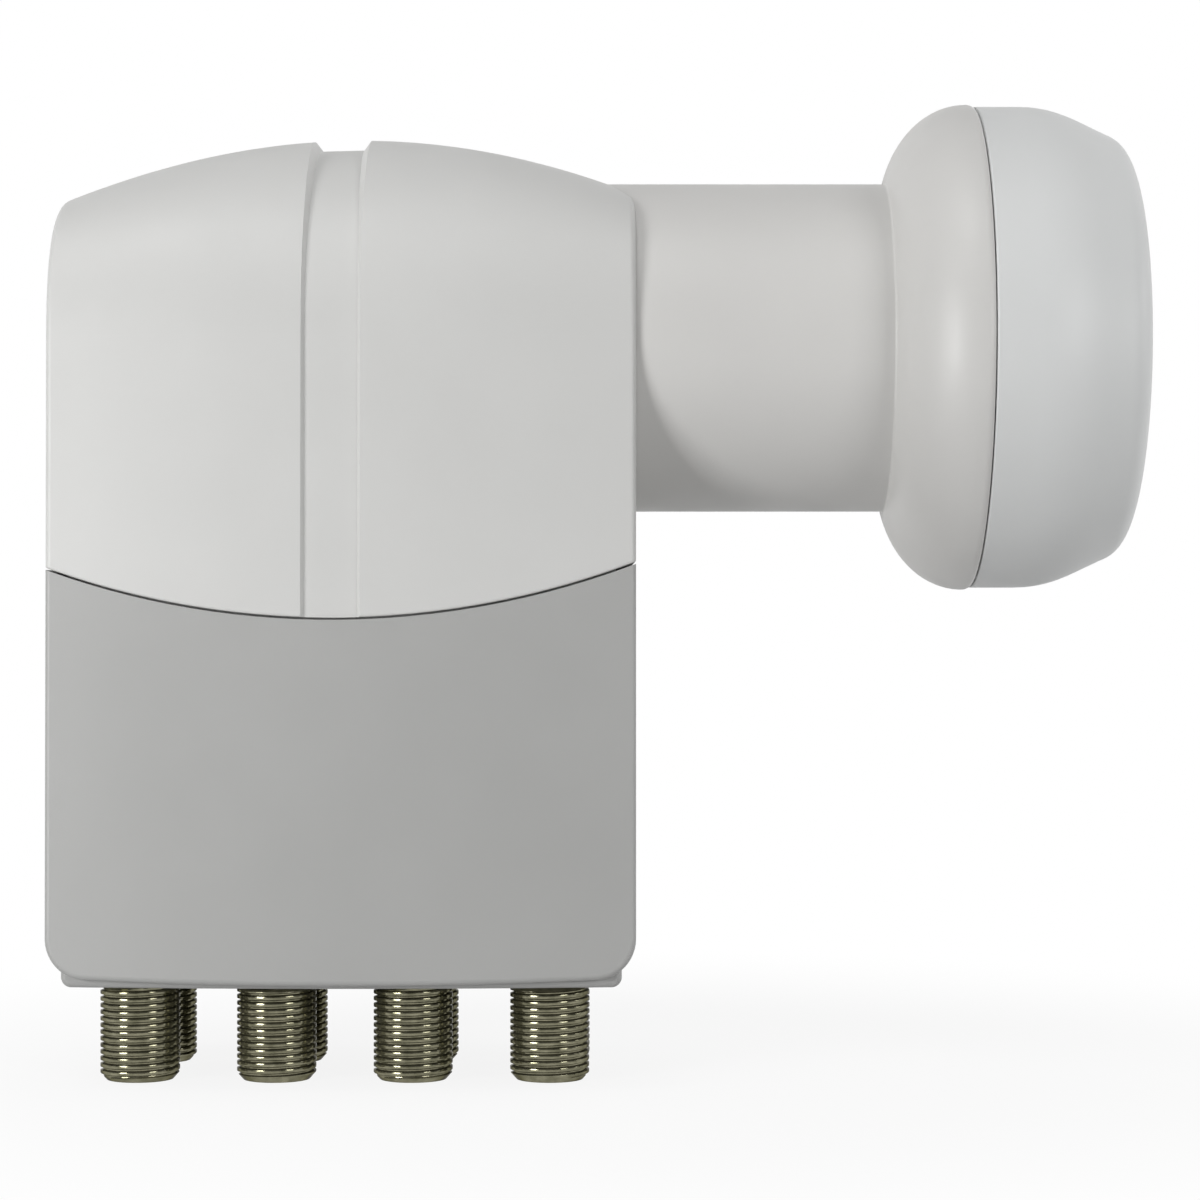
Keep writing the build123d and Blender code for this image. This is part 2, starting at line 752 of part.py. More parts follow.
# Receiver shield: pressed tray under the board, with a post for each screw and holes for the tuning screws
shield_middle = (shield_left + shield_right) / 2
shield_width = shield_right - shield_left
with BuildPart() as rf_shield:
    with BuildSketch(Plane.XY.offset(rf_shield_bottom)):
        with Locations((shield_middle, 0)):
            Rectangle(shield_width, 2 * rf_shield_half_depth)
    extrude(amount=rf_shield_height)
    with BuildSketch(Plane.XY.offset(rf_shield_bottom + shield_wall)):
        with Locations((shield_middle, 0)):
            Rectangle(shield_width - 2 * shield_wall, 2 * (rf_shield_half_depth - shield_wall))
    extrude(amount=rf_shield_height - shield_wall, mode=Mode.SUBTRACT)
    with BuildSketch(Plane.XY.offset(rf_shield_bottom)):
        with Locations(*shield_screw_places):
            Circle(shield_post_diameter / 2)
    extrude(amount=rf_shield_height)
    with BuildSketch(Plane.XY.offset(rf_shield_bottom)):
        with Locations(*shield_screw_places):
            Circle(small_shank / 2 + screw_clearance)
    extrude(amount=rf_shield_height, mode=Mode.SUBTRACT)
    with BuildSketch(Plane.XY.offset(rf_shield_bottom)):
        with Locations(*puck_places):
            Circle(tuning_shank / 2 + screw_clearance)
    extrude(amount=shield_wall, mode=Mode.SUBTRACT)
rf_shield.part.label = "rf_shield"
export_step(rf_shield.part, "parts/rf_shield.step")

# Shield screws: four, from below through the tray and the board into the casting
with BuildPart() as shield_screws:
    with BuildSketch(Plane.XY.offset(rf_shield_bottom)):
        with Locations(*shield_screw_places):
            Circle(small_head / 2)
    extrude(amount=-small_head_height)
    with BuildSketch(Plane.XY.offset(rf_shield_bottom)):
        with Locations(*shield_screw_places):
            Circle(small_shank / 2)
    extrude(amount=rf_board_top + small_bite - rf_shield_bottom)
shield_screws.part.label = "shield_screws"
export_step(shield_screws.part, "parts/shield_screws.step")

# Resonator pucks: ceramic discs bonded to the receiver board, one for each oscillator
with BuildPart() as resonator_pucks:
    with BuildSketch(Plane.XY.offset(rf_board_bottom)):
        with Locations(*puck_places):
            Circle(puck_diameter / 2)
    extrude(amount=-puck_height)
resonator_pucks.part.label = "resonator_pucks"
export_step(resonator_pucks.part, "parts/resonator_pucks.step")

# Tuning screws: one through the tray below each puck
with BuildPart() as tuning_screws:
    with BuildSketch(Plane.XY.offset(rf_shield_bottom)):
        with Locations(*puck_places):
            Circle(tuning_head / 2)
    extrude(amount=-tuning_head_height)
    with BuildSketch(Plane.XY.offset(rf_shield_bottom)):
        with Locations(*puck_places):
            Circle(tuning_shank / 2)
    extrude(amount=tuning_reach)
tuning_screws.part.label = "tuning_screws"
export_step(tuning_screws.part, "parts/tuning_screws.step")

# Vertical probe: straight pin from the receiver board up into the waveguide
with BuildPart() as probe_vertical:
    with BuildSketch(Plane.XY.offset(rf_board_bottom - probe_tail)):
        with Locations((vertical_probe_place, 0)):
            Circle(probe_diameter / 2)
    extrude(amount=probe_tail + board_thickness + casting_underside - probe_reach)
probe_vertical.part.label = "probe_vertical"
export_step(probe_vertical.part, "parts/probe_vertical.step")

# Horizontal probe: pin that rises beside the waveguide and bends into it
with BuildPart() as probe_horizontal:
    with BuildLine() as probe_path:
        FilletPolyline(
            (horizontal_probe_place, -horizontal_probe_side, rf_board_bottom - probe_tail),
            (horizontal_probe_place, -horizontal_probe_side, 0),
            (horizontal_probe_place, -probe_reach, 0),
            radius=probe_bend,
        )
    with BuildSketch(Plane.XY.offset(rf_board_bottom - probe_tail)):
        with Locations((horizontal_probe_place, -horizontal_probe_side)):
            Circle(probe_diameter / 2)
    sweep(path=probe_path.wires()[0])
probe_horizontal.part.label = "probe_horizontal"
export_step(probe_horizontal.part, "parts/probe_horizontal.step")

# Probe bushes: plastic sleeves that hold both pins in the casting
with BuildPart() as probe_bushes:
    with BuildSketch(Plane.XY.offset(rf_board_top)):
        with Locations((vertical_probe_place, 0), (horizontal_probe_place, -horizontal_probe_side)):
            Circle(bush_diameter / 2)
            Circle(probe_diameter / 2 + close_fit, mode=Mode.SUBTRACT)
    extrude(amount=bush_length)
probe_bushes.part.label = "probe_bushes"
export_step(probe_bushes.part, "parts/probe_bushes.step")

# Matrix board: stands on the casting's posts, takes the port contacts and clears the column
matrix_board_right = port_wall_right - board_margin
with BuildPart() as matrix_board:
    with BuildSketch(Plane.XY.offset(matrix_board_bottom)):
        with Locations(((rf_board_left + matrix_board_right) / 2, 0)):
            Rectangle(matrix_board_right - rf_board_left, 2 * (port_wall_half_depth - board_margin))
        with Locations((rf_board_right, 0)):
            Rectangle(
                matrix_board_right - rf_board_right,
                column_width + 2 * board_margin,
                align=(Align.MIN, Align.CENTER),
                mode=Mode.SUBTRACT,
            )
        with Locations(*port_places):
            Circle(contact_pin / 2 + screw_clearance, mode=Mode.SUBTRACT)
        with Locations(*board_screw_places):
            Circle(small_shank / 2 + screw_clearance, mode=Mode.SUBTRACT)
    extrude(amount=board_thickness)
matrix_board.part.label = "matrix_board"
export_step(matrix_board.part, "parts/matrix_board.step")

# Board screws: four, down through the matrix board into the posts
with BuildPart() as board_screws:
    with BuildSketch(Plane.XY.offset(matrix_board_top)):
        with Locations(*board_screw_places):
            Circle(small_head / 2)
    extrude(amount=small_head_height)
    with BuildSketch(Plane.XY.offset(matrix_board_top)):
        with Locations(*board_screw_places):
            Circle(small_shank / 2)
    extrude(amount=-board_thickness - small_bite)
board_screws.part.label = "board_screws"
export_step(board_screws.part, "parts/board_screws.step")

# Matrix shield: pressed lid over the matrix board's switches
with BuildPart() as matrix_shield:
    with BuildSketch(Plane.XY.offset(matrix_board_top)):
        with Locations((shield_middle, 0)):
            Rectangle(shield_width, 2 * matrix_shield_half_depth)
    extrude(amount=matrix_shield_height)
    with BuildSketch(Plane.XY.offset(matrix_board_top)):
        with Locations((shield_middle, 0)):
            Rectangle(shield_width - 2 * shield_wall, 2 * (matrix_shield_half_depth - shield_wall))
    extrude(amount=matrix_shield_height - shield_wall, mode=Mode.SUBTRACT)
matrix_shield.part.label = "matrix_shield"
export_step(matrix_shield.part, "parts/matrix_shield.step")

# Link board: upright between the two boards
with BuildPart() as link_board:
    with BuildSketch(Plane.XY.offset(matrix_board_top)):
        with Locations((link_place, 0)):
            Rectangle(board_thickness, 2 * link_half_width)
    extrude(amount=rf_board_bottom - matrix_board_top)
link_board.part.label = "link_board"
export_step(link_board.part, "parts/link_board.step")

# Base screws: two, from below, sunk in the base plate and driven into the casting
with BuildPart() as base_screws:
    with BuildSketch(Plane.XY.offset(base_bottom + base_head_height)):
        with Locations(*base_screw_places):
            Circle(base_head / 2)
    extrude(amount=-base_head_height)
    with BuildSketch(Plane.XY.offset(base_bottom + base_head_height)):
        with Locations(*base_screw_places):
            Circle(base_shank / 2)
    extrude(amount=base_thickness - base_head_height + base_bite)
base_screws.part.label = "base_screws"
export_step(base_screws.part, "parts/base_screws.step")
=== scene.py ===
from math import cos, pi, radians, sin

import bmesh
import bpy
import numpy as np
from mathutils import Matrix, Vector


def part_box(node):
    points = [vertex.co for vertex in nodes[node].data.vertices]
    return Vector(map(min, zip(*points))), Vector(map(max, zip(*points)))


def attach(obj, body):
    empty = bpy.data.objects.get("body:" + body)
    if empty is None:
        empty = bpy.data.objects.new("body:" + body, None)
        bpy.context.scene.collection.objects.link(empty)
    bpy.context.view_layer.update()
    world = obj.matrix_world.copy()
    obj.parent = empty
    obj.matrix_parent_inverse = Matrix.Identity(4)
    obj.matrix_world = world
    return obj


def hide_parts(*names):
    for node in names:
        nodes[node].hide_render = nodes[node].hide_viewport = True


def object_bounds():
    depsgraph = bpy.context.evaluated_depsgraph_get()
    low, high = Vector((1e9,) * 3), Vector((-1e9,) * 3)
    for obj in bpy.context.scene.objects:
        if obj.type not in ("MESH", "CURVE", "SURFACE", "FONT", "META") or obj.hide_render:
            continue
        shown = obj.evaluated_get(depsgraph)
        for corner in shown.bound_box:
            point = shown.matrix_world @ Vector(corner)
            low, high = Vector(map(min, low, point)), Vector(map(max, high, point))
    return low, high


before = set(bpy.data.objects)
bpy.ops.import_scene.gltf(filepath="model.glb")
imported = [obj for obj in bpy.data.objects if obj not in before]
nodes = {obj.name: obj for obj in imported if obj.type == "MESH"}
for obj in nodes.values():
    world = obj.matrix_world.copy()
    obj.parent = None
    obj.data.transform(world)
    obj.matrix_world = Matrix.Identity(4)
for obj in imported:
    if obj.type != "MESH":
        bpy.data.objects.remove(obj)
cad_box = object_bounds()

# Casting and feed horn
# A die-cast aluminium block with the waveguide, and a turned aluminium tube pressed into it.
# Both are bare metal with a dull skin, and the housing hides them.
MM = 0.001
NOISE_LOW = 0.3
NOISE_HIGH = 0.7


def new_finish(name, metallic=0.0):
    """A new material, with its node tree, its shader and the Object coordinates of its patterns."""
    finish = bpy.data.materials.new(name)
    finish.use_nodes = True
    tree = finish.node_tree
    shader = tree.nodes["Principled BSDF"]
    shader.inputs["Metallic"].default_value = metallic
    place = tree.nodes.new("ShaderNodeTexCoord").outputs["Object"]
    return finish, tree, shader, place


def mottle(tree, place, size, detail=2.0):
    """Noise whose blotches are about one size across, in metres, as a value from 0 to 1."""
    noise = tree.nodes.new("ShaderNodeTexNoise")
    noise.inputs["Scale"].default_value = 1 / size
    noise.inputs["Detail"].default_value = detail
    tree.links.new(place, noise.inputs["Vector"])
    return noise.outputs["Fac"]


def stretched(tree, place, x, y, z):
    """The same coordinates, drawn out along each axis by a factor."""
    mapping = tree.nodes.new("ShaderNodeMapping")
    mapping.inputs["Scale"].default_value = (1 / x, 1 / y, 1 / z)
    tree.links.new(place, mapping.inputs["Vector"])
    return mapping.outputs["Vector"]


def ranged(tree, value, low, high):
    """The middle of a noise value's range, spread from low to high."""
    spread = tree.nodes.new("ShaderNodeMapRange")
    spread.inputs["From Min"].default_value = NOISE_LOW
    spread.inputs["From Max"].default_value = NOISE_HIGH
    spread.inputs["To Min"].default_value = low
    spread.inputs["To Max"].default_value = high
    tree.links.new(value, spread.inputs["Value"])
    return spread.outputs["Result"]


def blended(tree, value, dark, light):
    """A colour that goes from dark to light with a value."""
    blend = tree.nodes.new("ShaderNodeMix")
    blend.data_type = "RGBA"
    blend.inputs["A"].default_value = (*dark, 1.0)
    blend.inputs["B"].default_value = (*light, 1.0)
    tree.links.new(value, blend.inputs["Factor"])
    return blend.outputs["Result"]


def raised(tree, shader, value, height):
    """Relief from a value, as high as a height in metres, on the shader's normal."""
    bump = tree.nodes.new("ShaderNodeBump")
    bump.inputs["Distance"].default_value = height
    tree.links.new(value, bump.inputs["Height"])
    tree.links.new(bump.outputs["Normal"], shader.inputs["Normal"])


def varied_finish(name, dark, light, rough, blotch, grain, relief, metallic=0.0, drawn=(1, 1, 1)):
    """A finish with blotches between two colours, a range of roughness and a fine raised grain."""
    finish, tree, shader, place = new_finish(name, metallic)
    patches = mottle(tree, place, blotch)
    skin = mottle(tree, stretched(tree, place, *drawn), grain, detail=3.0)
    colour = blended(tree, ranged(tree, patches, 0.0, 1.0), dark, light)
    tree.links.new(colour, shader.inputs["Base Color"])
    tree.links.new(ranged(tree, skin, *rough), shader.inputs["Roughness"])
    raised(tree, shader, skin, relief)
    return finish


def dress(finish, *names):
    """Gives a finish to the nodes with these names."""
    for name in names:
        mesh = nodes[name].data
        mesh.materials.clear()
        mesh.materials.append(finish)


cast_skin = varied_finish(
    "cast_metal",
    dark=(0.50, 0.50, 0.51),
    light=(0.62, 0.62, 0.63),
    rough=(0.34, 0.52),
    blotch=6 * MM,
    grain=0.4 * MM,
    relief=0.03 * MM,
    metallic=1.0,
)
dress(cast_skin, "chassis", "feed_horn")

# Gaskets
# Moulded black rubber rings: one under the neck, one round the base plate and one on the cap's spigot.
# Each lies in its groove and is squeezed when the pieces are screwed together.
rubber = varied_finish(
    "gasket_rubber",
    dark=(0.018, 0.018, 0.018),
    light=(0.034, 0.034, 0.034),
    rough=(0.62, 0.82),
    blotch=3 * MM,
    grain=0.2 * MM,
    relief=0.02 * MM,
)
dress(rubber, "neck_gasket", "base_gasket", "cap_seal")

# Probes, bushes and resonators
# Gold-flashed brass pins in white plastic sleeves, and ceramic pucks with brass screws that tune them.
# The pins are soldered to the receiver board, and the pucks are bonded to it.
contact_brass = varied_finish(
    "contact_metal",
    dark=(0.62, 0.45, 0.20),
    light=(0.74, 0.56, 0.28),
    rough=(0.18, 0.34),
    blotch=2 * MM,
    grain=0.1 * MM,
    relief=0.004 * MM,
    metallic=1.0,
)
core_plastic = varied_finish(
    "insulator_plastic",
    dark=(0.70, 0.69, 0.66),
    light=(0.78, 0.77, 0.74),
    rough=(0.36, 0.48),
    blotch=3 * MM,
    grain=0.15 * MM,
    relief=0.006 * MM,
)
puck_ceramic = varied_finish(
    "resonator_ceramic",
    dark=(0.60, 0.56, 0.49),
    light=(0.70, 0.66, 0.58),
    rough=(0.55, 0.75),
    blotch=1 * MM,
    grain=0.1 * MM,
    relief=0.01 * MM,
)
dress(contact_brass, "probe_vertical", "probe_horizontal", "tuning_screws")
dress(core_plastic, "probe_bushes")
dress(puck_ceramic, "resonator_pucks")

# Boards, shields and small screws
# Glass-fibre boards under green mask, tinned trays pressed from sheet, and plated steel screws.
# The screws pull each tray or board down on the casting.
board_mask = varied_finish(
    "circuit_board",
    dark=(0.012, 0.075, 0.030),
    light=(0.022, 0.115, 0.048),
    rough=(0.26, 0.44),
    blotch=4 * MM,
    grain=0.5 * MM,
    relief=0.01 * MM,
)
tinned_sheet = varied_finish(
    "shield_metal",
    dark=(0.60, 0.60, 0.59),
    light=(0.72, 0.72, 0.71),
    rough=(0.28, 0.46),
    blotch=5 * MM,
    grain=0.25 * MM,
    relief=0.01 * MM,
    metallic=1.0,
    drawn=(12, 1, 1),
)
plated_steel = varied_finish(
    "screw_steel",
    dark=(0.46, 0.46, 0.45),
    light=(0.60, 0.60, 0.58),
    rough=(0.26, 0.42),
    blotch=1.5 * MM,
    grain=0.12 * MM,
    relief=0.006 * MM,
    metallic=1.0,
)
dress(board_mask, "rf_board", "matrix_board", "link_board")
dress(tinned_sheet, "rf_shield", "matrix_shield")
dress(plated_steel, "shield_screws", "board_screws", "base_screws")

# F ports
# Turned barrels with a 3/8 inch thread of 32 turns to the inch, plated dull yellow, each with a plain
# collar at its root, a chamfered end, a white core and a spring contact. Their flanges sit in the
# casting's wall.
PORTS = range(1, 9)
THREAD_PITCH = 25.4 / 32 * MM
CREST_RADIUS = 9.525 / 2 * MM
THREAD_DEPTH = 0.40 * MM
CREST_SAG = 0.018 * MM
CREST_SHARE = 0.48
CREST_ROWS = 5
ROOT_SHARE = 0.16
THREAD_FADE = 0.5 * THREAD_PITCH
THREAD_SEED = 8
SPARE_TURNS_BELOW = 2
SPARE_TURNS_ABOVE = 4
COLLAR_RADIUS = 8.8 / 2 * MM
COLLAR_LENGTH = 1.0 * MM
CHAMFER = 0.75 * MM
CHAMFER_RISE = 0.85 * MM
BORE_RADIUS = 6.8 / 2 * MM
FLANGE_HEIGHT = 1.5 * MM
TAIL_RADIUS = 8.4 / 2 * MM
BARREL_COLUMNS = 96
MERGE_REACH = 1e-7
SHARP_FROM = radians(50)
PATCH_SIZE = 1.4 * MM
TOOL_MARK_SIZE = 0.12 * MM
TOOL_MARK_HEIGHT = 0.004 * MM
TOOL_MARK_DRAWN = (6, 6, 1)
PLATING_ROUGH = (0.10, 0.20)
PLATING_DARK = (0.15, 0.145, 0.093)
PLATING_LIGHT = (0.30, 0.287, 0.20)
PLATING_EDGE = (0.16, 0.155, 0.12, 1.0)


def new_piece(name, rows, meets, slot, *stands_for):
    """A closed piece from a grid of points.

    The last row meets the first one, and the last column meets the first one at the rows given.
    """
    row_count, column_count = rows.shape[:2]
    corner = np.arange(row_count * column_count).reshape(row_count, column_count)
    beside = np.column_stack([corner[:, 1:], corner[meets, 0]])
    above, above_beside = np.roll(corner, -1, axis=0), np.roll(beside, -1, axis=0)
    quads = np.stack([corner, beside, above_beside, above], axis=-1)
    mesh = bpy.data.meshes.new(name)
    mesh.from_pydata(rows.reshape(-1, 3), [], quads.reshape(-1, 4))
    solid = bmesh.new()
    solid.from_mesh(mesh)
    bmesh.ops.remove_doubles(solid, verts=solid.verts, dist=MERGE_REACH)
    bmesh.ops.dissolve_degenerate(solid, edges=solid.edges, dist=MERGE_REACH)
    bmesh.ops.recalc_face_normals(solid, faces=solid.faces)
    solid.to_mesh(mesh)
    solid.free()
    mesh.shade_smooth()
    mesh.set_sharp_from_angle(angle=SHARP_FROM)
    piece = bpy.data.objects.new(name, mesh)
    bpy.context.scene.collection.objects.link(piece)
    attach(piece, "root")
    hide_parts(*stands_for)
    return piece


def threaded_barrel(axis_x, axis_y, low, root, flange, top, flange_radius, start):
    """Closed grid of a port: its turned outline carried round the axis, with a thread that climbs.

    Rows of the thread climb one pitch a turn, so each lies along the helix. They are held between the open
    end and the collar, where the spare ones fall together. Over one pitch the radius follows a domed crest,
    a straight flank, a flat root and the other flank, and it is never more than the chamfer's cone. The
    thread dies out just below the collar. After a whole turn each row meets the one a pitch higher.
    """
    angle = np.linspace(0, 2 * pi, BARREL_COLUMNS, endpoint=False)
    thread_end = root - COLLAR_LENGTH
    root_edge = 0.5 - ROOT_SHARE / 2
    dome = np.linspace(-1, 1, CREST_ROWS)
    steps = np.append(CREST_SHARE / 2 * dome, [root_edge, 1 - root_edge])
    drops = np.append(CREST_SAG * dome**2, [THREAD_DEPTH, THREAD_DEPTH])
    whole_turns = int((thread_end - low) / THREAD_PITCH)
    turns = np.arange(-SPARE_TURNS_BELOW, whole_turns + SPARE_TURNS_ABOVE)
    climb = (turns[:, None] + steps - start / (2 * pi)).reshape(-1, 1)
    height = np.clip(low + (climb + angle / (2 * pi)) * THREAD_PITCH, low, thread_end)
    phase = (height - low) / THREAD_PITCH + (start - angle) / (2 * pi)
    thread = CREST_RADIUS - np.interp(phase, steps, drops, period=1)
    thread_share = np.clip((thread_end - height) / THREAD_FADE, 0, 1)
    cone = CREST_RADIUS - CHAMFER * (1 - (height - low) / CHAMFER_RISE)
    radius = np.minimum(COLLAR_RADIUS + (thread - COLLAR_RADIUS) * thread_share, cone)
    outline = [
        (COLLAR_RADIUS, root),
        (COLLAR_RADIUS, flange),
        (flange_radius, flange),
        (flange_radius, flange + FLANGE_HEIGHT),
        (TAIL_RADIUS, flange + FLANGE_HEIGHT),
        (TAIL_RADIUS, top),
        (BORE_RADIUS, top),
        (BORE_RADIUS, low),
    ]
    plain = np.array(outline)[:, None, :] * np.ones((1, BARREL_COLUMNS, 1))
    meets = np.minimum(np.arange(len(climb)) + len(steps), len(climb) - 1)
    meets = np.append(meets, len(climb) + np.arange(len(outline)))
    radius = np.vstack([radius, plain[..., 0]])
    height = np.vstack([height, plain[..., 1]])
    points = [axis_x + radius * np.cos(angle), axis_y + radius * np.sin(angle), height]
    return np.stack(points, axis=-1), meets


def port_plating():
    """Dull yellow plating over turned metal: darker in blotches, with fine marks round the axis."""
    finish, tree, shader, place = new_finish("port_plating", metallic=0.75)
    patches = mottle(tree, place, PATCH_SIZE, detail=4.0)
    tool_marks = mottle(tree, stretched(tree, place, *TOOL_MARK_DRAWN), TOOL_MARK_SIZE)
    colour = blended(tree, ranged(tree, patches, 0.0, 1.0), PLATING_DARK, PLATING_LIGHT)
    tree.links.new(colour, shader.inputs["Base Color"])
    tree.links.new(ranged(tree, tool_marks, *PLATING_ROUGH), shader.inputs["Roughness"])
    shader.inputs["Specular Tint"].default_value = PLATING_EDGE
    raised(tree, shader, tool_marks, TOOL_MARK_HEIGHT)
    return finish


plating = port_plating()
port_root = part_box("connector_base")[0].z
port_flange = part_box("connector_base")[1].z
thread_starts = np.random.default_rng(THREAD_SEED).uniform(0, 2 * pi, len(PORTS))
for number, start in zip(PORTS, thread_starts):
    shell = f"f_port_shell_{number}"
    low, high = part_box(shell)
    middle = (low + high) / 2
    flange_radius = (high.x - low.x) / 2
    rows, meets = threaded_barrel(
        middle.x, middle.y, low.z, port_root, port_flange, high.z, flange_radius, start
    )
    barrel = new_piece(f"f_port_barrel_{number}", rows, meets, "port_plating", shell)
    barrel.data.materials.append(plating)
    dress(core_plastic, f"f_port_insulator_{number}")
    dress(contact_brass, f"f_port_contact_{number}")

# Housing plastics
# Satin moulded plastic: the hood in light grey, the neck a shade warmer, the cover and base plate in mid
# grey, the cap in a cooler light grey. The mould leaves a fine even skin with slight changes of sheen.
TONE_SIZE = 22 * MM
CLOUD_SIZE = 7 * MM
SKIN_SIZE = 0.22 * MM
SKIN_HEIGHT = 0.006 * MM
SATIN_ROUGH = (0.40, 0.50)


def moulded_plastic(name, dark, light):
    """Satin plastic: broad faint changes of tone, cloudy sheen and the fine skin of the mould."""
    finish, tree, shader, place = new_finish(name)
    tone = mottle(tree, place, TONE_SIZE)
    cloud = mottle(tree, place, CLOUD_SIZE, detail=4.0)
    skin = mottle(tree, place, SKIN_SIZE, detail=1.0)
    colour = blended(tree, ranged(tree, tone, 0.0, 1.0), dark, light)
    tree.links.new(colour, shader.inputs["Base Color"])
    tree.links.new(ranged(tree, cloud, *SATIN_ROUGH), shader.inputs["Roughness"])
    raised(tree, shader, skin, SKIN_HEIGHT)
    return finish


light_grey = moulded_plastic("hood_plastic", (0.622, 0.622, 0.609), (0.643, 0.643, 0.630))
warm_grey = moulded_plastic("neck_plastic", (0.638, 0.631, 0.615), (0.660, 0.653, 0.636))
mid_grey = moulded_plastic("cover_plastic", (0.395, 0.396, 0.388), (0.411, 0.412, 0.404))
cool_grey = moulded_plastic("cap_plastic", (0.702, 0.712, 0.709), (0.722, 0.732, 0.729))
dress(light_grey, "upper_hood")
dress(warm_grey, "horn_neck")
dress(mid_grey, "lower_cover", "connector_base")
dress(cool_grey, "feed_cap")

# Floor
# A pale table that the ports stand on. It is shown as white, and darkens a little where the shadow falls.
# It throws back only half of the light, so that the object isn't lit much from below.
FLOOR_SIZE = 6.0
SHADOW_SHARE = 0.12
SHADOW_NEAR = 0.05
SHADOW_FAR = 0.14
TABLE_BOUNCE = (0.5, 0.5, 0.5)
TABLE_SEEN = (0.9, 0.9, 0.9)
floor_mesh = bpy.data.meshes.new("floor")
half_floor = FLOOR_SIZE / 2
floor_level = cad_box[0].z
floor_corners = np.array([(-1, -1), (1, -1), (1, 1), (-1, 1)]) * half_floor
floor_points = np.column_stack([floor_corners, np.full(4, floor_level)])
floor_mesh.from_pydata(floor_points, [], [(0, 1, 2, 3)])
floor = bpy.data.objects.new("floor", floor_mesh)
bpy.context.scene.collection.objects.link(floor)


def seen_directly(tree):
    """One for camera, glossy and transmission rays, and nought for rays that only carry light."""
    path = tree.nodes.new("ShaderNodeLightPath")
    seen = path.outputs["Is Camera Ray"]
    for ray in ("Is Glossy Ray", "Is Transmission Ray"):
        either = tree.nodes.new("ShaderNodeMath")
        either.operation = "MAXIMUM"
        tree.links.new(seen, either.inputs[0])
        tree.links.new(path.outputs[ray], either.inputs[1])
        seen = either.outputs[0]
    return seen


def pale_table():
    """White where it is seen, apart from a share of its true shade that fades out away from the object."""
    finish = bpy.data.materials.new("pale_table")
    finish.use_nodes = True
    tree = finish.node_tree
    tree.nodes.clear()
    place = tree.nodes.new("ShaderNodeTexCoord").outputs["Object"]
    middle = (cad_box[0] + cad_box[1]) / 2
    away = tree.nodes.new("ShaderNodeVectorMath")
    away.operation = "DISTANCE"
    away.inputs[1].default_value = (middle.x, middle.y, floor_level)
    tree.links.new(place, away.inputs[0])
    white_share = tree.nodes.new("ShaderNodeMapRange")
    white_share.interpolation_type = "SMOOTHSTEP"
    white_share.inputs["From Min"].default_value = SHADOW_NEAR
    white_share.inputs["From Max"].default_value = SHADOW_FAR
    white_share.inputs["To Min"].default_value = 1 - SHADOW_SHARE
    white_share.inputs["To Max"].default_value = 1.0
    tree.links.new(away.outputs["Value"], white_share.inputs["Value"])
    share = tree.nodes.new("ShaderNodeMath")
    share.operation = "MULTIPLY"
    seen = seen_directly(tree)
    tree.links.new(white_share.outputs["Result"], share.inputs[0])
    tree.links.new(seen, share.inputs[1])
    matt = tree.nodes.new("ShaderNodeBsdfDiffuse")
    tree.links.new(blended(tree, seen, TABLE_BOUNCE, TABLE_SEEN), matt.inputs["Color"])
    white = tree.nodes.new("ShaderNodeEmission")
    both = tree.nodes.new("ShaderNodeMixShader")
    output = tree.nodes.new("ShaderNodeOutputMaterial")
    tree.links.new(share.outputs[0], both.inputs["Fac"])
    tree.links.new(matt.outputs["BSDF"], both.inputs[1])
    tree.links.new(white.outputs["Emission"], both.inputs[2])
    tree.links.new(both.outputs["Shader"], output.inputs["Surface"])
    return finish


floor_mesh.materials.append(pale_table())

# Curtain
# A dark cloth hung round the front in a little over a half circle, outside the camera and the lamps, so
# that bare metal shows them against a dark room. It isn't in the picture.
CURTAIN_RADIUS = 1.7
CURTAIN_HEIGHT = 1.3
CURTAIN_REACH = radians(100)
CURTAIN_PANELS = 40
sweep = np.linspace(-CURTAIN_REACH, CURTAIN_REACH, CURTAIN_PANELS + 1)
hem_x, hem_y = CURTAIN_RADIUS * np.sin(sweep), -CURTAIN_RADIUS * np.cos(sweep)
hem = np.column_stack([hem_x, hem_y, np.full_like(sweep, floor_level)])
rail = hem + (0, 0, CURTAIN_HEIGHT)
panel = np.arange(CURTAIN_PANELS)
panel_top = panel + len(hem)
panels = np.column_stack([panel + 1, panel, panel_top, panel_top + 1])
curtain_mesh = bpy.data.meshes.new("curtain")
curtain_mesh.from_pydata(np.vstack([hem, rail]), [], panels)
curtain = bpy.data.objects.new("curtain", curtain_mesh)
bpy.context.scene.collection.objects.link(curtain)
curtain.visible_camera = False
cloth = varied_finish(
    "dark_cloth",
    dark=(0.020, 0.020, 0.020),
    light=(0.034, 0.034, 0.034),
    rough=(0.8, 0.95),
    blotch=300 * MM,
    grain=4 * MM,
    relief=1 * MM,
)
curtain_mesh.materials.append(cloth)

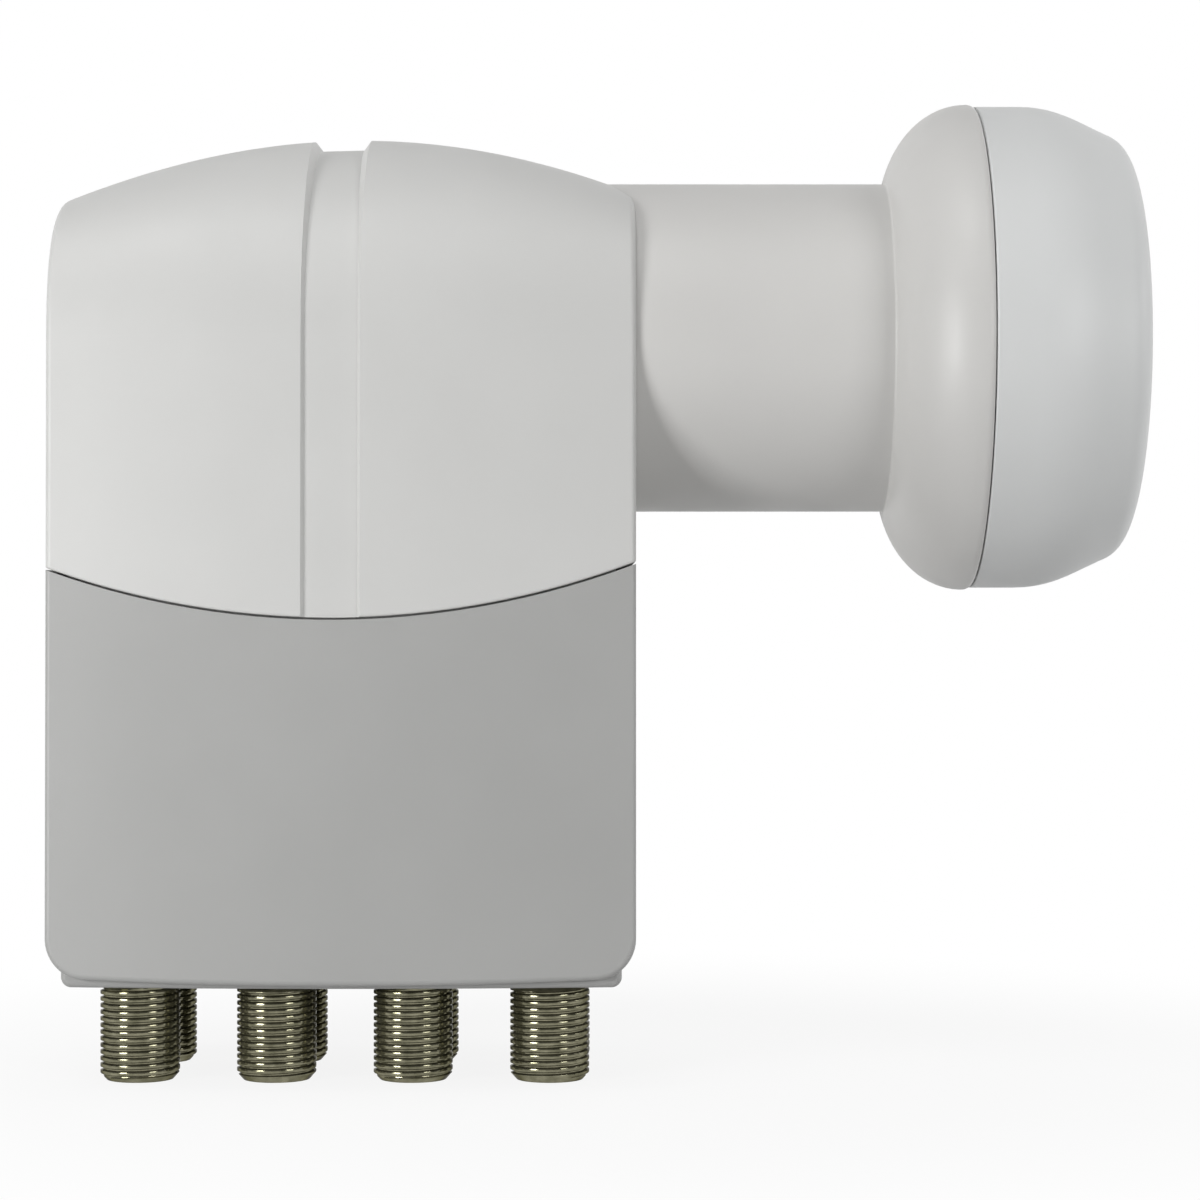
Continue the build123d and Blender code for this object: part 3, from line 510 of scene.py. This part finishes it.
# Light
# Soft lamps in a white room: a near one on the left, level with the object, a weaker one on the right,
# and two that lift the right side and the top.
ROOM_LIGHT = 0.42
aim = (cad_box[0] + cad_box[1]) / 2
world = bpy.data.worlds.new("room")
bpy.context.scene.world = world
world.use_nodes = True
room = world.node_tree
background = room.nodes["Background"]
background.inputs["Color"].default_value = (1.0, 1.0, 1.0, 1.0)
level = room.nodes.new("ShaderNodeMapRange")
level.inputs["To Min"].default_value = ROOM_LIGHT
level.inputs["To Max"].default_value = 1.0
room.links.new(seen_directly(room), level.inputs["Value"])
room.links.new(level.outputs["Result"], background.inputs["Strength"])


def soft_lamp(name, turn, rise, distance, size, power):
    """A square lamp that faces the object's middle, some degrees to the right of its front and some up."""
    level_reach = distance * cos(radians(rise))
    right, back = level_reach * sin(radians(turn)), -level_reach * cos(radians(turn))
    light = bpy.data.lights.new(name, "AREA")
    light.size = size
    light.energy = power
    lamp = bpy.data.objects.new(name, light)
    lamp.location = aim + Vector((right, back, distance * sin(radians(rise))))
    lamp.rotation_euler = (aim - lamp.location).to_track_quat("-Z", "Y").to_euler()
    bpy.context.scene.collection.objects.link(lamp)


soft_lamp("key_lamp", turn=-46, rise=3, distance=0.5, size=0.16, power=1.37)
soft_lamp("fill_lamp", turn=42, rise=10, distance=1.0, size=0.34, power=2.8)
soft_lamp("side_lamp", turn=90, rise=10, distance=1.0, size=0.35, power=1.6)
soft_lamp("top_lamp", turn=-30, rise=60, distance=1.0, size=0.35, power=1.6)

# Camera
# Level with the middle of the photograph, square on to the body's long side.
CAMERA_PLACE = (-19.425 * MM, -400 * MM, -30.84 * MM)
SENSOR_WIDTH = 36.0
LENS = 97.8
NEAREST_SEEN = 0.01
camera_data = bpy.data.cameras.new("camera")
camera_data.sensor_width = SENSOR_WIDTH
camera_data.lens = LENS
camera_data.clip_start = NEAREST_SEEN
camera = bpy.data.objects.new("camera", camera_data)
camera.location = CAMERA_PLACE
camera.rotation_euler = (pi / 2, 0, 0)
bpy.context.scene.collection.objects.link(camera)
bpy.context.scene.camera = camera
bpy.context.scene.view_settings.view_transform = "Standard"
